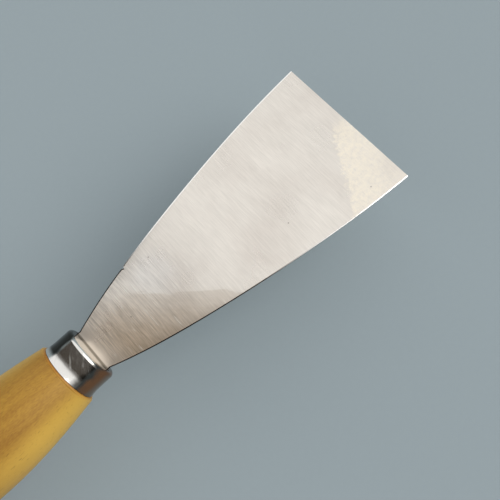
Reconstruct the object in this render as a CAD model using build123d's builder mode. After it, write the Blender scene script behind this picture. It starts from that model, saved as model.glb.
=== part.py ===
"""Flexible putty knife: spring-steel blade with its tang, plated ferrule, turned wooden handle and pin.

Frame: millimetres, origin at the centre of the ferrule's front face, +X along the knife towards the
working edge, +Y across the blade, +Z out of the blade's upper face.
"""

import os

from build123d import *

os.makedirs("parts", exist_ok=True)

# ---- blade: one stamped and taper-ground strip of spring steel -------------------------------
EDGE_WIDTH = 50.0  # working edge, the nominal size that the knife is sold by
BLADE_LENGTH = 102.0  # from the ferrule's front face to the working edge
ROOT_WIDTH = 13.9  # where the blade leaves the ferrule
EXPOSED_NECK = 1.0  # the root's width runs straight this far out of the ferrule
# share of the blade's length, and share of its widening from root to edge reached there
FLARE_SHARES = ((0.12, 0.200), (0.35, 0.504), (0.65, 0.798), (0.85, 0.936))
BLADE_THICKNESS = 0.80  # at the root and on the tang
EDGE_THICKNESS = 0.50  # at the working edge, after taper grinding
TAPER_START = 22.0  # the grinding starts this far from the ferrule
EDGE_BREAK = 0.12  # burr-free break along the stamped outline

# ---- tang: the same piece of steel, hidden in the handle -------------------------------------
TANG_LENGTH = 42.0  # behind the ferrule's front face
TANG_ROOT_WIDTH = 11.5
TANG_END_WIDTH = 7.0
TANG_NECK = 6.0  # the root's full width runs this far into the ferrule

# ---- ferrule: a deep-drawn cup over the handle's nose ------------------------------------------
FERRULE_LENGTH = 8.6
FERRULE_FRONT_RADIUS = 8.95
FERRULE_FLARE = 0.35  # the skirt grows by this much in radius at its back edge
FLARE_START = 5.4  # straight skirt up to here, behind the front face
FERRULE_WALL = 0.55
FERRULE_LIP_RADIUS = 1.1  # outside rounding between skirt and end face
SLOT_FACE_CLEARANCE = 0.10  # over and under the blade in the end face's slot
SLOT_END_CLEARANCE = 0.45  # past each side of the blade
SLOT_CORNER_RADIUS = 0.15

# ---- handle: turned beech, lacquered -----------------------------------------------------------
SHOULDER_STEP = 0.86  # the wood stands proud of the ferrule by this much
SHOULDER_GAP = 0.12  # between the ferrule's back edge and the wood's shoulder
SHOULDER_ROUND = 0.6
CHEEK_RADIUS = 12.2  # between the shoulder and the belly
CHEEK_FROM_FERRULE = 14.0
BELLY_RADIUS = 13.3
BELLY_FROM_FERRULE = 35.0  # the thickest place, behind the ferrule
WAIST_RADIUS = 11.4
WAIST_FROM_FERRULE = 66.0
HANDLE_LENGTH = 96.0  # behind the ferrule
KNOB_RADIUS = 12.4  # the swelling before the rounded butt
KNOB_FROM_BUTT = 11.0
NOSE_FIT = 0.03  # radial clearance of the nose in the ferrule
NOSE_END_GAP = 0.4  # between the nose and the inside of the end face
NOSE_CHAMFER = 0.8
TANG_FIT = 0.10  # each side of the tang in the handle's slot
TANG_END_GAP = 2.0  # slot left free past the tang's end

# ---- pin: a brad driven in from the underside --------------------------------------------------
PIN_RADIUS = 0.75
PIN_HEAD_RADIUS = 1.5
PIN_HEAD_HEIGHT = 0.45
PIN_FROM_FRONT = 3.6
PIN_REACH = 3.4  # above the tang's mid plane
PIN_TANG_CLEARANCE = 0.15
PIN_POINT_LENGTH = 1.2

# ---- worked out from the sizes above -----------------------------------------------------------
half_edge = EDGE_WIDTH / 2
half_root = ROOT_WIDTH / 2
flare_points = [
    (BLADE_LENGTH * along, half_root + (half_edge - half_root) * widening)
    for along, widening in FLARE_SHARES
]
ferrule_back_radius = FERRULE_FRONT_RADIUS + FERRULE_FLARE
skirt_inner_radius = FERRULE_FRONT_RADIUS - FERRULE_WALL
flare_inner_radius = ferrule_back_radius - FERRULE_WALL
shoulder_radius = ferrule_back_radius + SHOULDER_STEP
shoulder_x = -FERRULE_LENGTH - SHOULDER_GAP
nose_front_x = -FERRULE_WALL - NOSE_END_GAP
nose_radius = skirt_inner_radius - NOSE_FIT
butt_x = -FERRULE_LENGTH - HANDLE_LENGTH
cheek_x = -FERRULE_LENGTH - CHEEK_FROM_FERRULE
belly_x = -FERRULE_LENGTH - BELLY_FROM_FERRULE
waist_x = -FERRULE_LENGTH - WAIST_FROM_FERRULE
knob_x = butt_x + KNOB_FROM_BUTT

# ---- blade -------------------------------------------------------------------------------------
with BuildPart() as blade:
    # plan outline: upper half drawn, then mirrored about the knife's axis
    with BuildSketch(Plane.XY.offset(-BLADE_THICKNESS)):
        with BuildLine():
            flare = Spline((EXPOSED_NECK, half_root), *flare_points, (BLADE_LENGTH, half_edge))
            working_edge = Line(flare @ 1, (BLADE_LENGTH, 0))
            neck = Polyline(
                (EXPOSED_NECK, half_root),
                (-TANG_NECK, half_root),
                (-TANG_NECK, TANG_ROOT_WIDTH / 2),
                (-TANG_LENGTH, TANG_END_WIDTH / 2),
                (-TANG_LENGTH, 0),
            )
            mirror(about=Plane.XZ)
        make_face()
    extrude(amount=2 * BLADE_THICKNESS)
    # side profile: full thickness to TAPER_START, then ground down evenly on both faces
    with BuildSketch(Plane.XZ.offset(-EDGE_WIDTH)):
        with BuildLine():
            Polyline(
                (-TANG_LENGTH, BLADE_THICKNESS / 2),
                (TAPER_START, BLADE_THICKNESS / 2),
                (BLADE_LENGTH, EDGE_THICKNESS / 2),
                (BLADE_LENGTH, -EDGE_THICKNESS / 2),
                (TAPER_START, -BLADE_THICKNESS / 2),
                (-TANG_LENGTH, -BLADE_THICKNESS / 2),
                close=True,
            )
        make_face()
    extrude(amount=2 * EDGE_WIDTH, mode=Mode.INTERSECT)
    # burrs taken off the stamped outline and the working edge, on both faces
    outline_edges = (
        blade.edges()
        .filter_by_position(Axis.X, EXPOSED_NECK, BLADE_LENGTH)
        .filter_by(Axis.Z, reverse=True)
        .filter_by(lambda edge: abs(edge.center().X - TAPER_START) > 0.5)
    )
    chamfer(outline_edges, length=EDGE_BREAK)
    # hole in the tang for the pin
    with Locations((-PIN_FROM_FRONT, 0, 0)):
        Cylinder(PIN_RADIUS + PIN_TANG_CLEARANCE, 4 * BLADE_THICKNESS, mode=Mode.SUBTRACT)

# ---- ferrule -----------------------------------------------------------------------------------
with BuildPart() as ferrule:
    with BuildSketch(Plane.XZ):
        with BuildLine():
            front = Polyline((0, 0), (0, FERRULE_FRONT_RADIUS), (-FLARE_START, FERRULE_FRONT_RADIUS))
            outer_flare = TangentArc(
                front @ 1, (-FERRULE_LENGTH, ferrule_back_radius), tangent=(-1, 0)
            )
            back_edge = Line(outer_flare @ 1, (-FERRULE_LENGTH, flare_inner_radius))
            inner_flare = TangentArc(
                (-FLARE_START, skirt_inner_radius), back_edge @ 1, tangent=(-1, 0)
            )
            Polyline(inner_flare @ 0, (-FERRULE_WALL, skirt_inner_radius), (-FERRULE_WALL, 0), front @ 0)
        make_face()
    revolve(axis=Axis.X)
    front_edges = ferrule.edges().filter_by(GeomType.CIRCLE).group_by(Axis.X)
    fillet(front_edges[-1], radius=FERRULE_LIP_RADIUS)
    fillet(
        ferrule.edges().filter_by(GeomType.CIRCLE).filter_by_position(
            Axis.X, -FERRULE_WALL - 0.01, -FERRULE_WALL + 0.01
        ),
        radius=FERRULE_LIP_RADIUS - FERRULE_WALL,
    )
    # slot that the blade comes out of
    with BuildSketch(Plane.YZ.offset(-FERRULE_LIP_RADIUS)):
        RectangleRounded(
            ROOT_WIDTH + 2 * SLOT_END_CLEARANCE,
            BLADE_THICKNESS + 2 * SLOT_FACE_CLEARANCE,
            SLOT_CORNER_RADIUS,
        )
    extrude(amount=2 * FERRULE_LIP_RADIUS, mode=Mode.SUBTRACT)
    # hole for the pin, through the lower skirt only
    with Locations((-PIN_FROM_FRONT, 0, -FERRULE_FRONT_RADIUS)):
        Cylinder(PIN_RADIUS, 4 * FERRULE_WALL, mode=Mode.SUBTRACT)

# ---- handle ------------------------------------------------------------------------------------
with BuildPart() as handle:
    with BuildSketch(Plane.XZ):
        with BuildLine():
            nose = Polyline(
                (nose_front_x, 0),
                (nose_front_x, nose_radius - NOSE_CHAMFER),
                (nose_front_x - NOSE_CHAMFER, nose_radius),
                (shoulder_x, nose_radius),
                (shoulder_x, shoulder_radius - SHOULDER_ROUND),
            )
            shoulder = RadiusArc(
                nose @ 1,
                (shoulder_x - SHOULDER_ROUND, shoulder_radius),
                SHOULDER_ROUND,
            )
            grip = Spline(
                shoulder @ 1,
                (cheek_x, CHEEK_RADIUS),
                (belly_x, BELLY_RADIUS),
                (waist_x, WAIST_RADIUS),
                (knob_x, KNOB_RADIUS),
                tangents=((-1, 0.17), (-1, 0)),
            )
            butt = Spline(grip @ 1, (butt_x, 0), tangents=((-1, 0), (0, -1)))
            Line(butt @ 1, nose @ 0)
        make_face()
    revolve(axis=Axis.X)
    # slot for the tang, sawn in from the nose
    with BuildSketch(Plane.XY.offset(-BLADE_THICKNESS / 2 - TANG_FIT)):
        with BuildLine():
            Polyline(
                (0, half_root + TANG_FIT),
                (-TANG_NECK - TANG_FIT, half_root + TANG_FIT),
                (-TANG_NECK - TANG_FIT, TANG_ROOT_WIDTH / 2 + TANG_FIT),
                (-TANG_LENGTH - TANG_END_GAP, TANG_END_WIDTH / 2 + TANG_FIT),
                (-TANG_LENGTH - TANG_END_GAP, -TANG_END_WIDTH / 2 - TANG_FIT),
                (-TANG_NECK - TANG_FIT, -TANG_ROOT_WIDTH / 2 - TANG_FIT),
                (-TANG_NECK - TANG_FIT, -half_root - TANG_FIT),
                (0, -half_root - TANG_FIT),
                close=True,
            )
        make_face()
    extrude(amount=BLADE_THICKNESS + 2 * TANG_FIT, mode=Mode.SUBTRACT)
    # hole for the pin
    with BuildSketch(Plane.XY.offset(-FERRULE_FRONT_RADIUS)):
        with Locations((-PIN_FROM_FRONT, 0)):
            Circle(PIN_RADIUS)
    extrude(amount=FERRULE_FRONT_RADIUS + PIN_REACH, mode=Mode.SUBTRACT)

# ---- pin ---------------------------------------------------------------------------------------
with BuildPart() as ferrule_pin:
    with BuildSketch(Plane.XZ):
        with BuildLine():
            Polyline(
                (-PIN_FROM_FRONT, -FERRULE_FRONT_RADIUS - PIN_HEAD_HEIGHT),
                (-PIN_FROM_FRONT + PIN_HEAD_RADIUS, -FERRULE_FRONT_RADIUS - PIN_HEAD_HEIGHT),
                (-PIN_FROM_FRONT + PIN_HEAD_RADIUS, -FERRULE_FRONT_RADIUS),
                (-PIN_FROM_FRONT + PIN_RADIUS, -FERRULE_FRONT_RADIUS),
                (-PIN_FROM_FRONT + PIN_RADIUS, PIN_REACH - PIN_POINT_LENGTH),
                (-PIN_FROM_FRONT, PIN_REACH),
                close=True,
            )
        make_face()
    revolve(axis=Axis((-PIN_FROM_FRONT, 0, 0), (0, 0, 1)))

# ---- files -------------------------------------------------------------------------------------
blade.part.label = "blade"
ferrule.part.label = "ferrule"
handle.part.label = "handle"
ferrule_pin.part.label = "ferrule_pin"
export_step(blade.part, "parts/blade.step")
export_step(ferrule.part, "parts/ferrule.step")
export_step(handle.part, "parts/handle.step")
export_step(ferrule_pin.part, "parts/ferrule_pin.step")
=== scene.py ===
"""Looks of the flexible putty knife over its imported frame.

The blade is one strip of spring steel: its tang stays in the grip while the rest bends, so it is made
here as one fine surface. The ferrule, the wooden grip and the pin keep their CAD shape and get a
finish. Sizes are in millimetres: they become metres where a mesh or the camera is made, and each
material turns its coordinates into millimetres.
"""

import logging
from dataclasses import dataclass, field
from enum import Enum
from math import cos, radians, sin
from typing import Any

import bpy
import numpy as np
from mathutils import Matrix, Vector


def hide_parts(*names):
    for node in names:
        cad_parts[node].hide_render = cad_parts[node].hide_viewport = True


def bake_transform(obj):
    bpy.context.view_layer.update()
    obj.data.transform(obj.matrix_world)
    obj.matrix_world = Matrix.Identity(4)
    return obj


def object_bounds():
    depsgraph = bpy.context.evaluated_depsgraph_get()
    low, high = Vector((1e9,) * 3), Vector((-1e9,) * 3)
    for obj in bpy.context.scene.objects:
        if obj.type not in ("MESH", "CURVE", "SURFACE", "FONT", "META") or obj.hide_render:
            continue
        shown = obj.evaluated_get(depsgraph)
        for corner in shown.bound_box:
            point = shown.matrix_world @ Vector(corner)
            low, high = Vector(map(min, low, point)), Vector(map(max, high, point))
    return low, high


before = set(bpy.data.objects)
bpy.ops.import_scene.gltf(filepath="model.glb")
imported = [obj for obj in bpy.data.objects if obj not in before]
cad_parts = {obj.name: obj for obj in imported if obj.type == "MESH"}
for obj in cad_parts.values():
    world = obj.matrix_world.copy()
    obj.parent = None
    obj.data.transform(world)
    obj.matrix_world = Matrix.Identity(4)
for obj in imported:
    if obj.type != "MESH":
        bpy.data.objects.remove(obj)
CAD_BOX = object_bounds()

MM = 0.001
log = logging.getLogger("putty_knife")

Tree = bpy.types.NodeTree
Socket = bpy.types.NodeSocket
Ramp = tuple[float, float, float, float]  # where a change starts and ends, the amounts before and after
SMOOTH = {"interpolation_type": "SMOOTHSTEP"}  # for a ramp that eases in and out

# a Mix node's sockets go by number, as its float and its colour sockets share their names
SHARE, FLOAT_A, FLOAT_B, COLOUR_A, COLOUR_B = 0, 2, 3, 6, 7
MIXED_COLOUR = 2


class Side(Enum):
    """The two long sides of the blade, by the sign of Y."""

    LEFT = 1
    RIGHT = -1


class Rim(Enum):
    """What each quad of the blade is, as the number that its mesh carries."""

    FACE = 0.0
    BREAK = 1.0
    SIDE = 2.0


def linear(hex_colour: str) -> tuple[float, float, float, float]:
    """Turns an sRGB hex colour into linear light.

    Args:
        hex_colour: six hex digits after a hash sign.

    Returns:
        Red, green, blue and an alpha of one.
    """
    parts = [int(hex_colour[i : i + 2], 16) / 255 for i in (1, 3, 5)]
    light = [p / 12.92 if p <= 0.04045 else ((p + 0.055) / 1.055) ** 2.4 for p in parts]
    return (light[0], light[1], light[2], 1.0)


def add(tree: Tree, kind: str, inputs: dict | tuple = (), **settings: Any) -> bpy.types.Node:
    """Adds one shader node with its settings, values and links.

    Args:
        tree: the node tree that gets the node.
        kind: the node's type name without the ShaderNode prefix.
        inputs: values in the order of the node's inputs, or a dict from an input's name or number to
            its value. A value may be the output socket that feeds the input.
        settings: the node's own properties.

    Returns:
        The new node.
    """
    made = tree.nodes.new("ShaderNode" + kind)
    for name, value in settings.items():
        setattr(made, name, value)
    for key, value in inputs.items() if isinstance(inputs, dict) else enumerate(inputs):
        if isinstance(value, bpy.types.NodeSocket):
            tree.links.new(value, made.inputs[key])
        else:
            made.inputs[key].default_value = value
    return made


def blank_material(name: str) -> tuple[bpy.types.Material, Tree, bpy.types.Node, Socket]:
    """Makes an empty node material with its output, its shader and millimetre coordinates.

    Args:
        name: the finish's name.

    Returns:
        The material, its tree, its Principled shader and a socket of Object coordinates in millimetres.
    """
    material = bpy.data.materials.new(name)
    material.use_nodes = True
    tree = material.node_tree
    tree.nodes.clear()
    shader = add(tree, "BsdfPrincipled")
    add(tree, "OutputMaterial", {"Surface": shader.outputs["BSDF"]})
    place = add(tree, "TexCoord").outputs["Object"]
    in_mm = add(tree, "VectorMath", {0: place, "Scale": 1 / MM}, operation="SCALE")
    return material, tree, shader, in_mm.outputs["Vector"]


@dataclass(frozen=True)
class CrossGroundSpringSteel:
    """Hardened carbon spring steel, belt-ground across the strip and left bare with a film of oil.

    The grinding lines run across the blade, so highlights smear along it. The oil film deepens towards
    the root and ends in a smeared front, and one corner of the edge keeps a cream haze of dried filler.
    The sides are dull and carry painted shade. The edge break carries a painted highlight where it
    catches the light and painted shade elsewhere. Lengths are in millimetres.
    """

    steel: str = "#f2ebe1"
    # painted highlight: a paler, less yellow patch past the film's front
    painted_highlight: str = "#fbfaf8"
    handled: str = "#cfc3b9"
    film: str = "#b5a38e"
    filler: str = "#fdf3e0"
    scratch: str = "#fffaf0"
    # painted shade on the sides and the unlit edge breaks, painted highlight on the lit edge breaks
    painted_side_shade: str = "#4a4038"
    painted_edge_highlight: str = "#fffdf8"
    # painted shade for the slot's mouth
    painted_slot_shade: str = "#6b6252"
    speck: str = "#5a4a3c"
    roughness: float = 0.25
    cloud_roughness: float = 0.06  # added where the steel is cloudy
    filler_roughness: float = 0.14  # added where filler has dried
    honed_roughness: float = 0.12
    sheared_roughness: float = 0.5
    anisotropy: float = 0.5

    line_spacing: float = 0.30  # as coarse as the finest lines that can be told apart
    line_length: float = 6.0
    line_depth: float = 0.01
    line_fade: Ramp = (8.0, 38.0, 1.35, 0.34)  # along the blade, the lines' strength
    bands_per_line: tuple[float, float] = (0.22, 0.25)  # broad bands, along and across the blade
    band_weight: float = 0.12  # against the fine lines
    scratch_spacing: float = 0.8
    scratches_per_line: float = 0.9  # across the blade, so a little longer than a line
    scratch_level: Ramp = (0.64, 0.72, 0.0, 1.0)  # of the noise
    scratch_fade: Ramp = (8.0, 60.0, 0.5, 0.12)  # along the blade

    film_start: tuple[float, float] = (19.5, 5.5)  # one end of the film's front
    film_end: tuple[float, float] = (43.0, -17.0)
    film_smear: tuple[float, float] = (11.0, 2.2)  # a smear's size along and across the front
    film_waver: float = 6.0  # how far the smears pull the front about
    film_step: Ramp = (2.6, 3.6, 0.0, 1.0)  # past the front
    film_wiped: Ramp = (8.0, 3.0, 0.0, 0.20)  # across the blade, how much the front shows
    film_depth: Ramp = (-2.0, 20.0, 0.0, 0.80)  # past the front
    film_root: Ramp = (1.5, 9.0, 0.62, 1.0)  # along the blade

    filler_front: float = 95.5  # where the filler's front would cross the middle line
    filler_lean: float = 0.6  # how far the front leans back for each mm across
    filler_waver: float = 8.0
    filler_edge: Ramp = (3.2, 5.6, 0.0, 1.0)  # past the front
    filler_thins: Ramp = (8.0, 24.0, 1.0, 0.6)  # past the front
    filler_side: Ramp = (4.0, -1.0, 0.0, 1.0)  # across the blade
    rubbed_place: tuple[float, float, float] = (102.0, -20.0, 0.3)  # on the working edge
    rubbed_and_dark_fade: Ramp = (1.0, 8.0, 0.5, 1.0)  # away from that place
    filler_patches: Ramp = (0.36, 0.60, 0.30, 0.85)  # of the noise
    filler_cracks: Ramp = (0.008, 0.03, 0.55, 1.0)  # of the noise's distance from its middle

    clouds: Ramp = (0.3, 0.7, 0.955, 1.02)  # of the noise, to brightness
    # the painted highlight patch, kept to where the film is thin
    highlight_place: tuple[float, float, float] = (27.0, 5.0, 0.3)
    wipe_and_highlight: Ramp = (10.0, 3.0, 0.0, 0.30)  # away from that place
    highlight_under_thin_film: Ramp = (0.30, 0.12, 0.0, 1.0)  # of the film's amount
    masked: Ramp = (1.9, 3.4, 0.0, 1.0)  # along the blade, lines start past the masked strip
    root_light: Ramp = (24.0, 8.0, 1.0, 1.30)  # along the blade, lighter by the ferrule
    edge_worn: Ramp = (50.0, 95.0, 1.0, 0.91)  # along the blade, darker by the working edge
    flank_slope: float = 0.33  # how far the flanks lie out for each mm along
    flank: Ramp = (1.5, 6.0, 1.0, 0.84)  # outside that line
    smudges: Ramp = (0.40, 0.80, 0.0, 0.38)  # of the noise
    mouth: Ramp = (0.25, 0.5, 0.7, 0.0)  # along the blade, painted shade in the slot's mouth
    specks: tuple[tuple[float, float, float], ...] = (
        (91.7, -19.8, 0.3),
        (66.4, -11.0, 0.3),
        (14.5, -0.1, 0.3),
        (29.5, 10.0, 0.3),
        (21.9, 12.3, 0.3),
    )
    speck_size: Ramp = (0.30, 0.15, 0.0, 0.5)  # away from a speck's centre

    left_edge_highlight: Ramp = (21.8, 22.2, 0.0, 1.0)  # along the blade, painted highlight from the nick on
    right_edge_highlight: Ramp = (50.0, 72.0, 0.0, 0.9)  # along the blade, painted highlight over its outer half
    working_edge_highlight_from: float = 101.8  # the working edge's break, with its painted highlight, starts here
    powder: Ramp = (0.0, 1.0, 1.0, 0.25)  # of the filler's amount: how metallic the surface is

    def grinding(self, tree: Tree, mm: Socket, x: Socket) -> tuple[Socket, Socket, Socket]:
        """Draws the grinding lines: noise pulled out across the blade, strongest near the root.

        Args:
            tree: the material's node tree.
            mm: coordinates in millimetres.
            x: distance along the blade in millimetres.

        Returns:
            The lines' brightness, the bright scratches' strength and the raw fine lines.
        """
        thin = (1 / self.line_spacing, 1 / self.line_length, 1.0)
        lines = add(tree, "Mapping", {"Vector": mm, "Scale": thin}).outputs[0]
        grit = {"Vector": lines, "Scale": 1.0, "Detail": 3.0, "Roughness": 0.65}
        fine = add(tree, "TexNoise", grit).outputs["Fac"]
        along, across = self.bands_per_line
        wide = (along / self.line_spacing, across / self.line_length, 1.0)
        bands = add(tree, "Mapping", {"Vector": mm, "Scale": wide}).outputs[0]
        broad = add(tree, "TexNoise", {"Vector": bands, "Scale": 1.0, "Detail": 3.0}).outputs["Fac"]
        both = add(tree, "Math", (broad, self.band_weight, fine), operation="MULTIPLY_ADD").outputs[0]
        middle = (1 + self.band_weight) / 2
        centred = add(tree, "Math", (both, middle), operation="SUBTRACT").outputs[0]
        strength = add(tree, "MapRange", (x, *self.line_fade)).outputs[0]
        shade = add(tree, "Math", (centred, strength, 1.0), operation="MULTIPLY_ADD").outputs[0]
        # moved aside, so that the scratches do not repeat the lines
        aside = (7.3, 2.1, 0.0)
        sparse = (1 / self.scratch_spacing, self.scratches_per_line / self.line_length, 1.0)
        hairs = add(tree, "Mapping", {"Vector": mm, "Location": aside, "Scale": sparse}).outputs[0]
        hair = add(tree, "TexNoise", {"Vector": hairs, "Scale": 1.0, "Detail": 4.0}).outputs["Fac"]
        fade = add(tree, "MapRange", (x, *self.scratch_fade)).outputs[0]
        above = add(tree, "MapRange", (hair, *self.scratch_level)).outputs[0]
        scratched = add(tree, "Math", (above, fade), operation="MULTIPLY").outputs[0]
        return shade, scratched, fine

    def oil_film(self, tree: Tree, mm: Socket, x: Socket, y: Socket) -> Socket:
        """Works out the oil film: a weak smeared front and a depth that grows towards the root.

        The distance to the front is the dot product with the front's normal, made wavy by noise drawn
        out along the front. The front is sharp only where it was wiped, right of the middle line.

        Args:
            tree: the material's node tree.
            mm: coordinates in millimetres.
            x: distance along the blade in millimetres.
            y: distance across the blade in millimetres.

        Returns:
            The film's amount, zero to one.
        """
        (ax, ay), (bx, by) = self.film_start, self.film_end
        run = ((bx - ax) ** 2 + (by - ay) ** 2) ** 0.5
        normal = ((by - ay) / run, -(bx - ax) / run, 0.0)
        offset = normal[0] * ax + normal[1] * ay
        shift = (offset, offset, 0.0, 0.0)
        reach = add(tree, "VectorMath", (mm, normal), operation="DOT_PRODUCT").outputs["Value"]
        turn = (0.0, 0.0, np.arctan2(by - ay, bx - ax))
        drawn = {"Vector": mm, "Rotation": turn, "Scale": (*self.film_smear, 1.0)}
        wipe = add(tree, "Mapping", drawn, vector_type="TEXTURE").outputs[0]
        smear = add(tree, "TexNoise", {"Vector": wipe, "Scale": 1.0, "Detail": 4.0}).outputs["Fac"]
        wavy = add(tree, "Math", (smear, self.film_waver, reach), operation="MULTIPLY_ADD").outputs[0]
        edge = (wavy, *np.add(self.film_step, shift))
        front = add(tree, "MapRange", edge, **SMOOTH).outputs[0]
        wipe_and_highlight = add(tree, "MapRange", (y, *self.film_wiped)).outputs[0]
        step = add(tree, "Math", (front, wipe_and_highlight), operation="MULTIPLY").outputs[0]
        inside = (wavy, *np.add(self.film_depth, shift))
        depth = add(tree, "MapRange", inside, **SMOOTH).outputs[0]
        total = add(tree, "Math", (step, depth), operation="ADD").outputs[0]
        root = add(tree, "MapRange", (x, *self.film_root)).outputs[0]
        return add(tree, "Math", (total, root), operation="MULTIPLY").outputs[0]

    def dried_filler(self, tree: Tree, mm: Socket, x: Socket, y: Socket) -> Socket:
        """Works out the haze of dried filler in the right corner: a leaning front broken up by noise.

        Args:
            tree: the material's node tree.
            mm: coordinates in millimetres.
            x: distance along the blade in millimetres.
            y: distance across the blade in millimetres.

        Returns:
            The haze's amount, zero to one.
        """
        lean = add(tree, "Math", (y, -self.filler_lean, x), operation="MULTIPLY_ADD").outputs[0]
        speckle = {"Vector": mm, "Scale": 0.7, "Detail": 6.0, "Roughness": 0.7}
        mottle = add(tree, "TexNoise", speckle).outputs["Fac"]
        ragged = add(tree, "Math", (mottle, self.filler_waver, lean), operation="MULTIPLY_ADD").outputs[0]
        shift = (self.filler_front, self.filler_front, 0.0, 0.0)
        edge = (ragged, *np.add(self.filler_edge, shift))
        spread = add(tree, "MapRange", edge, **SMOOTH).outputs[0]
        thinned = add(tree, "MapRange", (ragged, *np.add(self.filler_thins, shift))).outputs[0]
        coat = add(tree, "Math", (spread, thinned), operation="MULTIPLY").outputs[0]
        side = add(tree, "MapRange", (y, *self.filler_side), **SMOOTH).outputs[0]
        corner = add(tree, "VectorMath", (mm, self.rubbed_place), operation="DISTANCE").outputs["Value"]
        rubbed_and_dark_fade = add(tree, "MapRange", (corner, *self.rubbed_and_dark_fade)).outputs[0]
        kept = add(tree, "Math", (side, rubbed_and_dark_fade), operation="MULTIPLY").outputs[0]
        worn = add(tree, "MapRange", (mottle, *self.filler_patches)).outputs[0]
        patchy = add(tree, "Math", (kept, worn), operation="MULTIPLY").outputs[0]
        veins = {"Vector": mm, "Scale": 0.8, "Detail": 2.0, "Distortion": 1.6}
        curl = add(tree, "TexNoise", veins).outputs["Fac"]
        apart = add(tree, "Math", (curl, 0.5), operation="SUBTRACT").outputs[0]
        near = add(tree, "Math", (apart,), operation="ABSOLUTE").outputs[0]
        crack = add(tree, "MapRange", (near, *self.filler_cracks)).outputs[0]
        cracked = add(tree, "Math", (patchy, crack), operation="MULTIPLY").outputs[0]
        return add(tree, "Math", (coat, cracked), operation="MULTIPLY").outputs[0]

    def brightness(self, tree: Tree, x: Socket, y: Socket, lined: Socket, clouded: Socket) -> Socket:
        """Multiplies everything that makes the steel lighter or darker.

        Args:
            tree: the material's node tree.
            x: distance along the blade in millimetres.
            y: distance across the blade in millimetres.
            lined: the grinding lines' brightness.
            clouded: the clouds' brightness.

        Returns:
            The steel's brightness, about one.
        """
        root = add(tree, "MapRange", (x, *self.root_light)).outputs[0]
        worn = add(tree, "MapRange", (x, *self.edge_worn)).outputs[0]
        out = add(tree, "Math", (y,), operation="ABSOLUTE").outputs[0]
        off = add(tree, "Math", (x, -self.flank_slope, out), operation="MULTIPLY_ADD").outputs[0]
        flank = add(tree, "MapRange", (off, *self.flank), **SMOOTH).outputs[0]
        sloped = add(tree, "Math", (root, flank), operation="MULTIPLY").outputs[0]
        ends = add(tree, "Math", (sloped, worn), operation="MULTIPLY").outputs[0]
        lifted = add(tree, "Math", (lined, ends), operation="MULTIPLY").outputs[0]
        return add(tree, "Math", (lifted, clouded), operation="MULTIPLY").outputs[0]

    def handled_steel(self, tree: Tree, mm: Socket, film: Socket) -> Socket:
        """Colours the steel: bare, with a painted highlight patch where the film is thin, smudged by
        hands, under oil.

        Args:
            tree: the material's node tree.
            mm: coordinates in millimetres.
            film: the oil film's amount.

        Returns:
            The steel's colour without its lines.
        """
        # painted highlight: a paler patch where the film is thin
        patch = add(tree, "VectorMath", (mm, self.highlight_place), operation="DISTANCE").outputs["Value"]
        wipe_and_highlight = add(tree, "MapRange", (patch, *self.wipe_and_highlight), **SMOOTH).outputs[0]
        clear = add(tree, "MapRange", (film, *self.highlight_under_thin_film)).outputs[0]
        painted_highlight = add(tree, "Math", (wipe_and_highlight, clear), operation="MULTIPLY").outputs[0]
        hands = {"Vector": mm, "Scale": 0.05, "Detail": 3.0, "Distortion": 0.3}
        touched = add(tree, "TexNoise", hands).outputs["Fac"]
        marks = (touched, *self.smudges)
        smudge = add(tree, "MapRange", marks, **SMOOTH).outputs[0]
        colour = linear(self.steel)
        for amount, over in ((painted_highlight, self.painted_highlight), (smudge, self.handled), (film, self.film)):
            layers = {SHARE: amount, COLOUR_A: colour, COLOUR_B: linear(over)}
            colour = add(tree, "Mix", layers, data_type="RGBA").outputs[MIXED_COLOUR]
        return colour

    def specks_and_slot_shade(self, tree: Tree, mm: Socket, x: Socket, colour: Socket) -> Socket:
        """Adds painted shade in the slot's mouth and the small dark specks.

        Args:
            tree: the material's node tree.
            mm: coordinates in millimetres.
            x: distance along the blade in millimetres.
            colour: the colour below.

        Returns:
            The colour with its specks and painted shade.
        """
        # painted shade: a dark line where the blade goes into the slot
        mouth = add(tree, "MapRange", (x, *self.mouth)).outputs[0]
        layers = {SHARE: mouth, COLOUR_A: colour, COLOUR_B: linear(self.painted_slot_shade)}
        colour = add(tree, "Mix", layers, data_type="RGBA").outputs[MIXED_COLOUR]
        for centre in self.specks:
            gap = add(tree, "VectorMath", (mm, centre), operation="DISTANCE").outputs["Value"]
            dot = add(tree, "MapRange", (gap, *self.speck_size)).outputs[0]
            layers = {SHARE: dot, COLOUR_A: colour, COLOUR_B: linear(self.speck)}
            colour = add(tree, "Mix", layers, data_type="RGBA").outputs[MIXED_COLOUR]
        return colour

    def edge_break(self, tree: Tree, x: Socket, y: Socket) -> Socket:
        """Colours the edge break: a painted highlight where it catches the light, painted shade
        elsewhere.

        Args:
            tree: the material's node tree.
            x: distance along the blade in millimetres.
            y: distance across the blade in millimetres.

        Returns:
            The edge break's colour.
        """
        left = add(tree, "MapRange", (x, *self.left_edge_highlight)).outputs[0]
        right = add(tree, "MapRange", (x, *self.right_edge_highlight)).outputs[0]
        on_left = add(tree, "Math", (y, 0.0), operation="GREATER_THAN").outputs[0]
        layers = {SHARE: on_left, FLOAT_A: right, FLOAT_B: left}
        sides = add(tree, "Mix", layers, data_type="FLOAT").outputs[0]
        at_edge = add(tree, "Math", (x, self.working_edge_highlight_from), operation="GREATER_THAN").outputs[0]
        highlit = add(tree, "Math", (sides, at_edge), operation="MAXIMUM").outputs[0]
        layers = {SHARE: highlit, COLOUR_A: linear(self.painted_side_shade), COLOUR_B: linear(self.painted_edge_highlight)}
        return add(tree, "Mix", layers, data_type="RGBA").outputs[MIXED_COLOUR]

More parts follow.
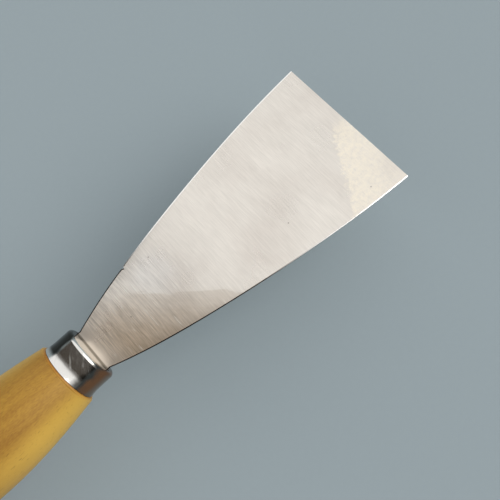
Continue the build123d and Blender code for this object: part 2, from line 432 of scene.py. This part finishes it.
    def material(self) -> bpy.types.Material:
        """Builds the blade's material on bare steel: film, filler, lines, scratches, specks, a painted
        highlight patch, painted shade in the slot's mouth, and painted highlight and shade on the edges.
        """
        material, tree, shader, mm = blank_material("spring_steel_cross_ground")
        split = add(tree, "SeparateXYZ", (mm,))
        x, y = split.outputs["X"], split.outputs["Y"]
        shade, scratched, fine = self.grinding(tree, mm, x)
        film = self.oil_film(tree, mm, x, y)
        haze = self.dried_filler(tree, mm, x, y)
        cloud = add(tree, "TexNoise", {"Vector": mm, "Scale": 0.07, "Detail": 3.0}).outputs["Fac"]
        clouded = add(tree, "MapRange", (cloud, *self.clouds)).outputs[0]
        # the strip next to the slot was masked while grinding, so it is smooth
        masked = add(tree, "MapRange", (x, *self.masked)).outputs[0]
        layers = {SHARE: masked, FLOAT_A: 1.0, FLOAT_B: shade}
        lined = add(tree, "Mix", layers, data_type="FLOAT").outputs[0]
        bright = self.brightness(tree, x, y, lined, clouded)
        layers = {SHARE: 1.0, COLOUR_A: self.handled_steel(tree, mm, film), COLOUR_B: bright}
        colour = add(tree, "Mix", layers, data_type="RGBA", blend_type="MULTIPLY").outputs[MIXED_COLOUR]
        hairy = add(tree, "Math", (scratched, masked), operation="MULTIPLY").outputs[0]
        layers = {SHARE: hairy, COLOUR_A: colour, COLOUR_B: linear(self.scratch)}
        colour = add(tree, "Mix", layers, data_type="RGBA").outputs[MIXED_COLOUR]
        layers = {SHARE: haze, COLOUR_A: colour, COLOUR_B: linear(self.filler)}
        colour = add(tree, "Mix", layers, data_type="RGBA").outputs[MIXED_COLOUR]
        colour = self.specks_and_slot_shade(tree, mm, x, colour)
        rim = add(tree, "Attribute", attribute_name="rim").outputs["Fac"]
        on_rim = add(tree, "Math", (rim, Rim.BREAK.value - 0.5), operation="GREATER_THAN").outputs[0]
        on_side = add(tree, "Math", (rim, Rim.SIDE.value - 0.5), operation="GREATER_THAN").outputs[0]
        # painted highlight and painted shade on the edge breaks, painted shade on the sides
        layers = {SHARE: on_rim, COLOUR_A: colour, COLOUR_B: self.edge_break(tree, x, y)}
        colour = add(tree, "Mix", layers, data_type="RGBA").outputs[MIXED_COLOUR]
        layers = {SHARE: on_side, COLOUR_A: colour, COLOUR_B: linear(self.painted_side_shade)}
        colour = add(tree, "Mix", layers, data_type="RGBA").outputs[MIXED_COLOUR]
        tree.links.new(colour, shader.inputs["Base Color"])
        rough = self.roughness
        for amount, more in ((haze, self.filler_roughness), (cloud, self.cloud_roughness)):
            rough = add(tree, "Math", (amount, more, rough), operation="MULTIPLY_ADD").outputs[0]
        for place, there in ((on_rim, self.honed_roughness), (on_side, self.sheared_roughness)):
            layers = {SHARE: place, FLOAT_A: rough, FLOAT_B: there}
            rough = add(tree, "Mix", layers, data_type="FLOAT").outputs[0]
        tree.links.new(rough, shader.inputs["Roughness"])
        powder = add(tree, "MapRange", (haze, *self.powder)).outputs[0]
        tree.links.new(powder, shader.inputs["Metallic"])
        shader.inputs["Anisotropic"].default_value = self.anisotropy
        along = add(tree, "Tangent", direction_type="UV_MAP", uv_map="plan")
        tree.links.new(along.outputs[0], shader.inputs["Tangent"])
        bump = add(tree, "Bump", {"Height": fine, "Strength": 0.15, "Distance": self.line_depth * MM})
        tree.links.new(bump.outputs[0], shader.inputs["Normal"])
        return material


@dataclass(frozen=True)
class BrightNickelPlate:
    """Deep-drawn mild steel, polished and bright nickel plated: a warm mirror with hair scratches.

    Both sides carry a painted dark reflection; the right one also carries a painted rust-brown
    reflection and, furthest out, a painted grey one. Lengths are in millimetres, and those across count
    left of the middle.
    """

    metal: str = "#ebe8e2"
    # painted dark reflection for both sides
    painted_dark_reflection: str = "#403e39"
    # painted rust-brown reflection for the right side
    painted_warm_reflection: str = "#a9714a"
    # painted grey reflection for the outermost right side
    painted_grey_reflection: str = "#8c8378"
    roughness: float = 0.14
    scratch_roughness: float = 0.10  # added in a scratch
    scratch_spacing: float = 0.7
    scratch_length: float = 8.0
    scratch_depth: float = 1.5  # how far one reaches into the plate's noise
    scratch_turn: tuple[float, float, float] = (0.2, 0.3, 0.9)  # radians
    scratch_level: Ramp = (0.58, 0.68, 0.0, 1.0)  # of the noise
    waver: float = 2.4  # how far the zones' borders wander
    dent_depth: float = 0.06
    rubbed_and_dark_fade: Ramp = (-8.2, -6.6, 0.0, 1.0)  # along the ferrule, where the painted dark reflection on the left fades out before the rear edge
    left_dark_reflection: tuple[float, float] = (3.4, 4.9)  # across, where the painted dark reflection starts and is full
    right_dark_reflection: Ramp = (-4.4, -6.4, 0.0, 0.93)  # across
    warm_reflection_band: Ramp = (-6.6, -8.0, 0.0, 0.75)  # across
    grey_reflection_side: Ramp = (-8.3, -9.0, 0.0, 0.7)  # across, past here a painted grey reflection

    def material(self) -> bpy.types.Material:
        """Builds the ferrule's material: mirror, painted dark, rust-brown and grey reflections, and hair
        scratches.
        """
        material, tree, shader, mm = blank_material("bright_nickel_plate")
        split = add(tree, "SeparateXYZ", (mm,))
        x, y = split.outputs["X"], split.outputs["Y"]
        front = add(tree, "MapRange", (x, *self.rubbed_and_dark_fade), **SMOOTH).outputs[0]
        blotch = add(tree, "TexNoise", {"Vector": mm, "Scale": 0.35, "Detail": 4.0}).outputs["Fac"]
        wobble = add(tree, "Math", (blotch, 0.5), operation="SUBTRACT").outputs[0]
        shifted = add(tree, "Math", (wobble, self.waver, y), operation="MULTIPLY_ADD").outputs[0]
        colour = linear(self.metal)
        # painted reflections down the sides: dark, rust-brown and grey
        zones = (
            (shifted, (*self.left_dark_reflection, 0.0, front), self.painted_dark_reflection),
            (shifted, self.right_dark_reflection, self.painted_dark_reflection),
            (shifted, self.warm_reflection_band, self.painted_warm_reflection),
            (y, self.grey_reflection_side, self.painted_grey_reflection),
        )
        for place, ramp, over in zones:
            share = add(tree, "MapRange", (place, *ramp), **SMOOTH).outputs[0]
            layers = {SHARE: share, COLOUR_A: colour, COLOUR_B: linear(over)}
            colour = add(tree, "Mix", layers, data_type="RGBA").outputs[MIXED_COLOUR]
        tree.links.new(colour, shader.inputs["Base Color"])
        shader.inputs["Metallic"].default_value = 1.0
        size = (self.scratch_length, self.scratch_spacing, self.scratch_depth)
        drawn = {"Vector": mm, "Rotation": self.scratch_turn, "Scale": size}
        hair = add(tree, "Mapping", drawn, vector_type="TEXTURE").outputs[0]
        scratches = add(tree, "TexNoise", {"Vector": hair, "Scale": 1.0, "Detail": 3.0}).outputs["Fac"]
        scored = add(tree, "MapRange", (scratches, *self.scratch_level))
        roughened = (scored.outputs[0], self.scratch_roughness, self.roughness)
        rough = add(tree, "Math", roughened, operation="MULTIPLY_ADD").outputs[0]
        tree.links.new(rough, shader.inputs["Roughness"])
        bump = add(tree, "Bump", {"Height": blotch, "Strength": 0.25, "Distance": self.dent_depth * MM})
        tree.links.new(bump.outputs[0], shader.inputs["Normal"])
        return material


@dataclass(frozen=True)
class LacqueredHardwood:
    """Straight-grained pale hardwood, turned and sanded, dipped in clear nitro-cellulose lacquer.

    Growth rings give soft lengthwise streaks, open pores give short dark dashes, both sides carry
    painted light that makes them paler, the wood is darker and redder just behind the ferrule, and the
    lacquer is a thin satin coat. Lengths are in millimetres.
    """

    light: str = "#b98d30"
    dark: str = "#986a1e"
    painted_side_light: str = "#dcb04c"
    pore: str = "#7a5016"
    shoulder_tone: str = "#a8651c"
    roughness: float = 0.45
    ior: float = 1.45  # of the lacquer
    coat: float = 0.12
    coat_roughness: float = 0.3
    ring_spacing: float = 2.6  # between growth rings
    ring_flatness: float = 0.35  # rings to each spacing up and down, as the board was sawn flat
    streak_length: float = 60.0
    waver: tuple[float, float, float] = (4.0, 7.0, 7.0)  # how far the grain wanders
    slow_weight: float = 0.6  # of the slow drift of tone against the rings
    ring_tone: Ramp = (0.62, 1.0, 0.0, 1.0)  # of both together
    fleck_width: float = 0.30
    fleck_length: float = 1.3
    fleck_weight: float = 2.8  # against the rings
    dark_share: Ramp = (0.75, 2.65, 0.0, 1.0)  # of rings and flecks together
    side_light_slope: float = 0.06  # how far the painted side light comes in for each mm back
    side_light: Ramp = (4.6, 9.6, 0.0, 0.85)  # out from the middle
    side_light_front: Ramp = (-48.0, -24.0, 0.35, 1.0)  # along the grip
    pore_width: float = 0.30
    pore_length: float = 2.0
    pore_level: Ramp = (0.66, 0.76, 0.0, 0.55)  # of the noise
    pore_depth: float = 1.5  # against the rings' relief
    relief: float = 0.05
    shoulder: Ramp = (-9.4, -8.8, 0.0, 0.5)  # along the grip, up to the turned shoulder

    def material(self) -> bpy.types.Material:
        """Builds the grip's material: rings, flecks, painted light along the sides, pores, a darker band
        behind the ferrule and lacquer.
        """
        material, tree, shader, mm = blank_material("lacquered_hardwood")
        split = add(tree, "SeparateXYZ", (mm,))
        x, y = split.outputs["X"], split.outputs["Y"]
        bend = add(tree, "TexNoise", {"Vector": mm, "Scale": 0.02, "Detail": 2.0}).outputs["Color"]
        shifted = add(tree, "VectorMath", (bend, self.waver, mm), operation="MULTIPLY_ADD").outputs[0]
        rings, share = self.grain(tree, mm, shifted)
        layers = {SHARE: share, COLOUR_A: linear(self.light), COLOUR_B: linear(self.dark)}
        wood = add(tree, "Mix", layers, data_type="RGBA").outputs[MIXED_COLOUR]
        # painted light: both sides of the grip are made paler
        away = add(tree, "Math", (y,), operation="ABSOLUTE").outputs[0]
        outer = add(tree, "Math", (x, self.side_light_slope, away), operation="MULTIPLY_ADD").outputs[0]
        side_light = add(tree, "MapRange", (outer, *self.side_light), **SMOOTH).outputs[0]
        front = add(tree, "MapRange", (x, *self.side_light_front)).outputs[0]
        pale = add(tree, "Math", (side_light, front), operation="MULTIPLY").outputs[0]
        dash = (1 / self.pore_length, 1 / self.pore_width, 1 / self.pore_width)
        dashes = add(tree, "Mapping", {"Vector": mm, "Scale": dash}).outputs[0]
        pores = add(tree, "TexNoise", {"Vector": dashes, "Scale": 1.0, "Detail": 1.0}).outputs["Fac"]
        pore = add(tree, "MapRange", (pores, *self.pore_level)).outputs[0]
        # darker and redder band just behind the ferrule
        near = add(tree, "MapRange", (x, *self.shoulder), **SMOOTH).outputs[0]
        for amount, over in ((pale, self.painted_side_light), (pore, self.pore), (near, self.shoulder_tone)):
            layers = {SHARE: amount, COLOUR_A: wood, COLOUR_B: linear(over)}
            wood = add(tree, "Mix", layers, data_type="RGBA").outputs[MIXED_COLOUR]
        tree.links.new(wood, shader.inputs["Base Color"])
        shader.inputs["Roughness"].default_value = self.roughness
        shader.inputs["IOR"].default_value = self.ior
        shader.inputs["Coat Weight"].default_value = self.coat
        shader.inputs["Coat Roughness"].default_value = self.coat_roughness
        height = add(tree, "Math", (pore, -self.pore_depth, rings), operation="MULTIPLY_ADD").outputs[0]
        bump = add(tree, "Bump", {"Height": height, "Strength": 0.2, "Distance": self.relief * MM})
        tree.links.new(bump.outputs[0], shader.inputs["Normal"])
        return material

    def grain(self, tree: Tree, mm: Socket, shifted: Socket) -> tuple[Socket, Socket]:
        """Draws the grain: long streaks where rings are cut, a slow drift of tone and fine flecks.

        Args:
            tree: the material's node tree.
            mm: coordinates in millimetres.
            shifted: the same coordinates, wandering as the grain does.

        Returns:
            The rings' noise and the share of dark wood.
        """
        cut = (1 / self.streak_length, 1 / self.ring_spacing, self.ring_flatness / self.ring_spacing)
        streaks = add(tree, "Mapping", {"Vector": shifted, "Scale": cut}).outputs[0]
        streaky = {"Vector": streaks, "Scale": 1.0, "Detail": 4.0, "Roughness": 0.55}
        rings = add(tree, "TexNoise", streaky).outputs["Fac"]
        slow = add(tree, "TexNoise", {"Vector": shifted, "Scale": 0.06, "Detail": 2.0}).outputs["Fac"]
        mixed = add(tree, "Math", (slow, self.slow_weight, rings), operation="MULTIPLY_ADD").outputs[0]
        tone = (mixed, *self.ring_tone)
        amount = add(tree, "MapRange", tone, **SMOOTH).outputs[0]
        size = (1 / self.fleck_length, 1 / self.fleck_width, 1 / self.fleck_width)
        fleck = add(tree, "Mapping", {"Vector": mm, "Scale": size}).outputs[0]
        flecks = add(tree, "TexNoise", {"Vector": fleck, "Scale": 1.0, "Detail": 4.0}).outputs["Fac"]
        added = (flecks, self.fleck_weight, amount)
        grained = add(tree, "Math", added, operation="MULTIPLY_ADD").outputs[0]
        share = add(tree, "MapRange", (grained, *self.dark_share)).outputs[0]
        return rings, share


@dataclass(frozen=True)
class DrawnWire:
    """Bright drawn steel wire with a cold-headed end: grey and slightly rough, with uneven tarnish."""

    metal: str = "#b9b6b0"
    tarnished: str = "#8f8a82"
    roughness: Ramp = (0.0, 1.0, 0.22, 0.45)  # of the tarnish
    relief: float = 0.03  # mm

    def material(self) -> bpy.types.Material:
        """Builds the pin's material."""
        material, tree, shader, mm = blank_material("drawn_steel_wire")
        shader.inputs["Metallic"].default_value = 1.0
        tarnish = add(tree, "TexNoise", {"Vector": mm, "Scale": 1.4, "Detail": 4.0}).outputs["Fac"]
        layers = {SHARE: tarnish, COLOUR_A: linear(self.metal), COLOUR_B: linear(self.tarnished)}
        colour = add(tree, "Mix", layers, data_type="RGBA").outputs[MIXED_COLOUR]
        tree.links.new(colour, shader.inputs["Base Color"])
        rough = add(tree, "MapRange", (tarnish, *self.roughness)).outputs[0]
        tree.links.new(rough, shader.inputs["Roughness"])
        bump = add(tree, "Bump", {"Height": tarnish, "Strength": 0.2, "Distance": self.relief * MM})
        tree.links.new(bump.outputs[0], shader.inputs["Normal"])
        return material


@dataclass(frozen=True)
class StudioPaper:
    """Matt blue-grey background paper, evenly coloured, with a fibre that is barely seen."""

    paper: str = "#98a4a9"
    fibres: Ramp = (0.0, 1.0, 0.985, 1.015)  # of the noise
    roughness: float = 0.9
    specular: float = 0.2

    def material(self) -> bpy.types.Material:
        """Builds the floor's material."""
        material, tree, shader, mm = blank_material("studio_paper")
        fibre = add(tree, "TexNoise", {"Vector": mm, "Scale": 0.6, "Detail": 3.0}).outputs["Fac"]
        amount = add(tree, "MapRange", (fibre, *self.fibres)).outputs[0]
        layers = {SHARE: 1.0, COLOUR_A: linear(self.paper), COLOUR_B: amount}
        colour = add(tree, "Mix", layers, data_type="RGBA", blend_type="MULTIPLY").outputs[MIXED_COLOUR]
        tree.links.new(colour, shader.inputs["Base Color"])
        shader.inputs["Roughness"].default_value = self.roughness
        shader.inputs["Specular IOR Level"].default_value = self.specular
        return material


@dataclass
class Blade:
    """The flared strip of spring steel with its tang, in one piece. Sizes in millimetres."""

    edge_width: float = 50.0
    length: float = 102.0
    root_width: float = 13.9
    exposed_neck: float = 1.0
    flare: tuple[tuple[float, float], ...] = (  # share of the length, share of the widening
        (0.12, 0.200),
        (0.35, 0.504),
        (0.65, 0.798),
        (0.85, 0.936),
    )
    thickness: float = 0.80
    edge_thickness: float = 0.50
    taper_start: float = 22.0
    edge_break: float = 0.12
    left_break: float = 0.36  # the honed left edge break is wider than deep
    right_break: float = 0.22
    nick_x: float = 21.9
    nick_depth: float = 0.45
    nick_width: float = 0.35
    nick_step: float = 0.12  # how far the worn side behind the nick stands back
    nick_run: float = 6.0
    tang_length: float = 42.0
    tang_root_width: float = 11.5
    tang_end_width: float = 7.0
    tang_neck: float = 6.0
    tang_step: float = 0.02  # along the blade, over which the tang's width steps
    neck_back: float = 2.0  # how far behind the ferrule's face the neck is drawn finely
    hole_radius: float = 0.90
    hole_from_front: float = 3.6
    columns: int = 16  # points from the middle line out to the side
    tang_rows: int = 12
    hole_rows: int = 17
    neck_rows: int = 7
    blade_rows: int = 150
    nick_rows: int = 15
    smallest_gap: float = 1e-4  # anything narrower is closed
    sharp_from: float = 15.0  # degrees between faces that meet in a sharp line
    bend_end: float = 118.0  # past the tip

    def half_width(self, x: np.ndarray) -> np.ndarray:
        """Half the plan width at x.

        Straight on the neck; in front of it the one fifth-power curve through the root, the four flare
        points and the edge's corner; behind it a straight line down to the tang's end.

        Args:
            x: distances from the ferrule's face.

        Returns:
            Half widths, the same shape as x.
        """
        root, edge = self.root_width / 2, self.edge_width / 2
        along = np.array([self.exposed_neck] + [a * self.length for a, _ in self.flare] + [self.length])
        wide = np.array([root] + [root + (edge - root) * w for _, w in self.flare] + [edge])
        curve = np.polynomial.Polynomial.fit(along, wide, 5)
        ends = [self.tang_end_width / 2, self.tang_root_width / 2]
        tang = np.interp(x, [-self.tang_length, -self.tang_neck], ends)
        out = np.where(x > self.exposed_neck, curve(x), root)
        return np.where(x <= -self.tang_neck, tang, out)

    def half_thickness(self, x: np.ndarray) -> np.ndarray:
        """Half the thickness at x: even up to the taper's start, then straight down to the edge."""
        ends = [self.thickness / 2, self.edge_thickness / 2]
        return np.interp(x, [self.taper_start, self.length], ends)

    def hole_half_width(self, x: np.ndarray) -> np.ndarray:
        """Half the pin hole's width at x: the height of a circle over its diameter, zero outside it."""
        off = x + self.hole_from_front
        return np.sqrt(np.clip(self.hole_radius**2 - off**2, 0.0, None))

    def wear(self, x: np.ndarray, side: Side) -> np.ndarray:
        """How far a long side is worn back at x.

        On the left side only: a bell-shaped nick, and behind it a step that fades out over nick_run.

        Args:
            x: distances from the ferrule's face.
            side: which long side.

        Returns:
            Depths of wear, the same shape as x.
        """
        if side is Side.RIGHT:
            return np.zeros_like(x)
        bell = self.nick_depth * np.exp(-(((x - self.nick_x) / self.nick_width) ** 2))
        behind = np.clip(1 - (self.nick_x - x) / self.nick_run, 0.0, 1.0)
        return bell + np.where(x < self.nick_x, self.nick_step * behind**2, 0.0)

    def stations(self) -> np.ndarray:
        """Distances along the blade where its section is drawn, close together where it changes fast."""
        bow = np.cos(np.linspace(np.pi, 0, self.hole_rows)) * self.hole_radius - self.hole_from_front
        reach = 3 * self.nick_width
        parts = [
            np.linspace(-self.tang_length, -self.tang_neck, self.tang_rows),
            [-self.tang_neck + self.tang_step],
            bow,
            np.linspace(-self.neck_back, self.exposed_neck, self.neck_rows),
            np.linspace(self.exposed_neck, self.length - self.edge_break, self.blade_rows)[1:],
            np.linspace(self.nick_x - reach, self.nick_x + reach, self.nick_rows),
            [self.taper_start, self.length],
        ]
        return np.unique(np.round(np.concatenate(parts), 6))

    def half_strip(self, side: Side) -> tuple[np.ndarray, np.ndarray, np.ndarray]:
        """Works out one half of the strip as a grid.

        Each station carries an open profile: from the middle, or the hole's rim, out over the upper face,
        down the side wall between its two edge breaks, and back under to the middle. The right half is
        the left one with Y turned round, and its quads are wound the other way.

        Args:
            side: which half.

        Returns:
            Points, quads as indices into them, and each quad's Rim number.
        """
        x = self.stations()
        bevel = self.left_break if side is Side.LEFT else self.right_break
        wide = self.half_width(x) - self.wear(x, side)
        thick, inner = self.half_thickness(x), self.hole_half_width(x)
        cut = np.where(x >= self.length - self.smallest_gap, self.edge_break, 0.0)
        out = np.linspace(0.0, 1.0, self.columns)
        flat = inner[:, None] + (wide - bevel - inner)[:, None] * out
        face = (thick - cut)[:, None] * np.ones(self.columns)
        wall = (thick - self.edge_break)[:, None]
        y = side.value * np.hstack([flat, wide[:, None], wide[:, None], flat[:, ::-1]])
        z = np.hstack([face, wall, -wall, -face[:, ::-1]])
        points = np.stack([np.broadcast_to(x[:, None], y.shape), y, z], axis=-1)
        rows, ring = y.shape
        index = np.arange(rows * ring).reshape(rows, ring)
        skin = np.stack([index[:-1, :-1], index[1:, :-1], index[1:, 1:], index[:-1, 1:]], axis=-1)
        kind = np.full(skin.shape[:2], Rim.FACE.value)
        kind[:, [self.columns - 1, self.columns + 1]] = Rim.BREAK.value
        kind[-1] = Rim.BREAK.value
        kind[:, self.columns] = Rim.SIDE.value
        bored = np.maximum(inner[:-1], inner[1:]) > self.smallest_gap
        bore = np.stack([index[:-1, -1], index[1:, -1], index[1:, 0], index[:-1, 0]], axis=-1)[bored]
        half = ring // 2
        up, down = index[:, :half], index[:, ::-1][:, :half]
        front = np.stack([up[-1, :-1], down[-1, :-1], down[-1, 1:], up[-1, 1:]], axis=-1)
        back = np.stack([up[0, :-1], up[0, 1:], down[0, 1:], down[0, :-1]], axis=-1)
        quads = np.concatenate([skin.reshape(-1, 4), bore, front, back])
        kinds = np.concatenate([kind.ravel(), np.full(len(quads) - kind.size, Rim.SIDE.value)])
        return points.reshape(-1, 3), quads[:, :: side.value], kinds

    def mesh(self) -> bpy.types.Mesh:
        """Joins the strip's two halves along the middle line into one closed mesh.

        Returns:
            The mesh in metres, with a plan map whose first direction runs along the blade.
        """
        left, right = self.half_strip(Side.LEFT), self.half_strip(Side.RIGHT)
        every = np.round(np.concatenate([left[0], right[0]]), 6) + 0.0
        faces = np.concatenate([left[1], right[1] + len(left[0])])
        unique, place = np.unique(every, axis=0, return_inverse=True)
        mesh = bpy.data.meshes.new("blade_strip")
        mesh.from_pydata(unique * MM, [], place.reshape(-1)[faces])
        plan = mesh.uv_layers.new(name="plan")
        corner = np.empty(len(mesh.loops), dtype=np.int64)
        mesh.loops.foreach_get("vertex_index", corner)
        plan.data.foreach_set("uv", (unique[corner][:, :2] / self.length).ravel())
        rim = mesh.attributes.new("rim", "FLOAT", "FACE")
        rim.data.foreach_set("value", np.concatenate([left[2], right[2]]).astype(np.float32))
        mesh.polygons.foreach_set("use_smooth", np.ones(len(mesh.polygons), dtype=bool))
        mesh.set_sharp_from_angle(angle=radians(self.sharp_from))
        return mesh

    def build(self, finish: CrossGroundSpringSteel) -> bpy.types.Object:
        """Makes the blade and dresses it.

        Args:
            finish: the steel's finish.

        Returns:
            The blade's object.
        """
        blade = bpy.data.objects.new("blade_strip", self.mesh())
        bpy.context.scene.collection.objects.link(blade)
        blade.data.materials.append(finish.material())
        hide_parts("blade")
        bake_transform(blade)
        return blade


@dataclass
class Handle:
    """The wooden grip with the plated ferrule and the pin that holds it, all in their CAD shape."""

    wood: LacqueredHardwood
    plate: BrightNickelPlate
    wire: DrawnWire

    def build(self) -> list[bpy.types.Object]:
        """Gives each CAD node its finish.

        Returns:
            The dressed objects.
        """
        dressed = []
        finishes = {"handle": self.wood, "ferrule": self.plate, "ferrule_pin": self.wire}
        for node, finish in finishes.items():
            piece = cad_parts[node]
            piece.data.materials.clear()
            piece.data.materials.append(finish.material())
            dressed.append(piece)
        return dressed


@dataclass
class Studio:
    """Floor, lamp, surroundings and camera. Lengths in millimetres."""

    paper: StudioPaper = field(default_factory=StudioPaper)
    floor_drop: float = 22.0  # room under the handle for the blade to bend down
    floor_half: float = 3000.0
    camera_place: tuple[float, float, float] = (30.13, -52.39, 168.31)
    camera_aim: tuple[float, float, float] = (52.7, -9.13, 0.0)
    camera_heading: float = 47.3  # degrees from +X towards +Y that point up in the picture
    lens: float = 43.2
    sensor: float = 36.0
    clip_start: float = 5.0
    key_from: tuple[float, float, float] = (0.55, -0.46, 0.70)
    key_strength: float = 1.35
    key_width: float = 48.0  # degrees
    key_colour: str = "#fffdfa"
    bright_ceiling: str = "#fbfcfd"
    dark_band: str = "#3a332b"
    rear_ceiling: str = "#c6c6c6"
    horizon: str = "#98a4a9"
    ahead: Ramp = (-0.15, -0.065, 0.0, 1.0)  # of the direction's X, where the bright ceiling starts
    behind: Ramp = (-0.30, -0.46, 0.0, 1.0)  # of the direction's X, where the rear ceiling starts
    above: Ramp = (0.22, 0.40, 0.0, 1.0)  # of the direction's Z, where the horizon ends

    def floor(self) -> bpy.types.Object:
        """Lays the paper floor far enough under the knife for the blade to bend down.

        Returns:
            The floor's object.
        """
        low = CAD_BOX[0][2] - self.floor_drop * MM
        half = self.floor_half * MM
        corners = [(-half, -half, low), (half, -half, low), (half, half, low), (-half, half, low)]
        mesh = bpy.data.meshes.new("floor")
        mesh.from_pydata(corners, [], [(0, 1, 2, 3)])
        floor = bpy.data.objects.new("floor", mesh)
        bpy.context.scene.collection.objects.link(floor)
        floor.data.materials.append(self.paper.material())
        return floor

    def key_light(self) -> bpy.types.Object:
        """Lights the scene evenly from ahead and the right with one wide soft lamp.

        Returns:
            The lamp's object.
        """
        data = bpy.data.lights.new("key_light", "SUN")
        data.energy = self.key_strength
        data.angle = radians(self.key_width)
        data.color = linear(self.key_colour)[:3]
        lamp = bpy.data.objects.new("key_light", data)
        bpy.context.scene.collection.objects.link(lamp)
        lamp.matrix_world = Vector(self.key_from).to_track_quat("Z", "Y").to_matrix().to_4x4()
        return lamp

    def surroundings(self) -> None:
        """Sets the world: a plain horizon under a ceiling that is bright over the blade.

        The ceiling's brightness follows the direction's X: bright ahead of the ferrule, one dark band
        just behind straight up, which polished metal shows as its dark core, and paler again further
        back. Towards the horizon it fades into the floor's own colour.
        """
        world = bpy.data.worlds.new("room")
        bpy.context.scene.world = world
        world.use_nodes = True
        tree = world.node_tree
        tree.nodes.clear()
        way = add(tree, "TexCoord").outputs["Generated"]
        split = add(tree, "SeparateXYZ", (way,))
        x, z = split.outputs["X"], split.outputs["Z"]
        tone = linear(self.dark_band)
        layers = (
            (x, self.behind, self.rear_ceiling),
            (x, self.ahead, self.bright_ceiling),
        )
        for place, ramp, over in layers:
            share = add(tree, "MapRange", (place, *ramp), **SMOOTH).outputs[0]
            layers = {SHARE: share, COLOUR_A: tone, COLOUR_B: linear(over)}
            tone = add(tree, "Mix", layers, data_type="RGBA").outputs[MIXED_COLOUR]
        height = add(tree, "MapRange", (z, *self.above), **SMOOTH).outputs[0]
        colours = {SHARE: height, COLOUR_A: linear(self.horizon), COLOUR_B: tone}
        room = add(tree, "Mix", colours, data_type="RGBA").outputs[MIXED_COLOUR]
        back = add(tree, "Background", {"Color": room, "Strength": 1.0})
        add(tree, "OutputWorld", {"Surface": back.outputs[0]})

    def camera(self) -> bpy.types.Object:
        """Sets the camera up, almost straight over the blade, with the knife rising to the right.

        Returns:
            The camera's object.
        """
        data = bpy.data.cameras.new("camera")
        data.sensor_width = self.sensor
        data.lens = self.lens
        data.clip_start = self.clip_start * MM
        camera = bpy.data.objects.new("camera", data)
        bpy.context.scene.collection.objects.link(camera)
        place, aim = Vector(self.camera_place) * MM, Vector(self.camera_aim) * MM
        back = (place - aim).normalized()
        angle = radians(self.camera_heading)
        heading = Vector((cos(angle), sin(angle), 0.0))
        right = heading.cross(back).normalized()
        up = back.cross(right)
        turn = Matrix((right, up, back)).transposed().to_4x4()
        camera.matrix_world = Matrix.Translation(place) @ turn
        bpy.context.scene.camera = camera
        return camera

    def build(self) -> None:
        """Sets up the floor, the surroundings, the lamp and the camera."""
        self.floor()
        self.surroundings()
        self.key_light()
        self.camera()
        bpy.context.scene.view_settings.view_transform = "Standard"


def main() -> None:
    """Builds the studio and the knife."""
    logging.basicConfig(level=logging.INFO, format="%(name)s: %(message)s")
    Studio().build()
    blade = Blade().build(CrossGroundSpringSteel())
    log.info("%s: %d faces", blade.name, len(blade.data.polygons))
    for piece in Handle(LacqueredHardwood(), BrightNickelPlate(), DrawnWire()).build():
        log.info("%s dressed in %s", piece.name, piece.data.materials[0].name)


if __name__ == "__main__":
    main()
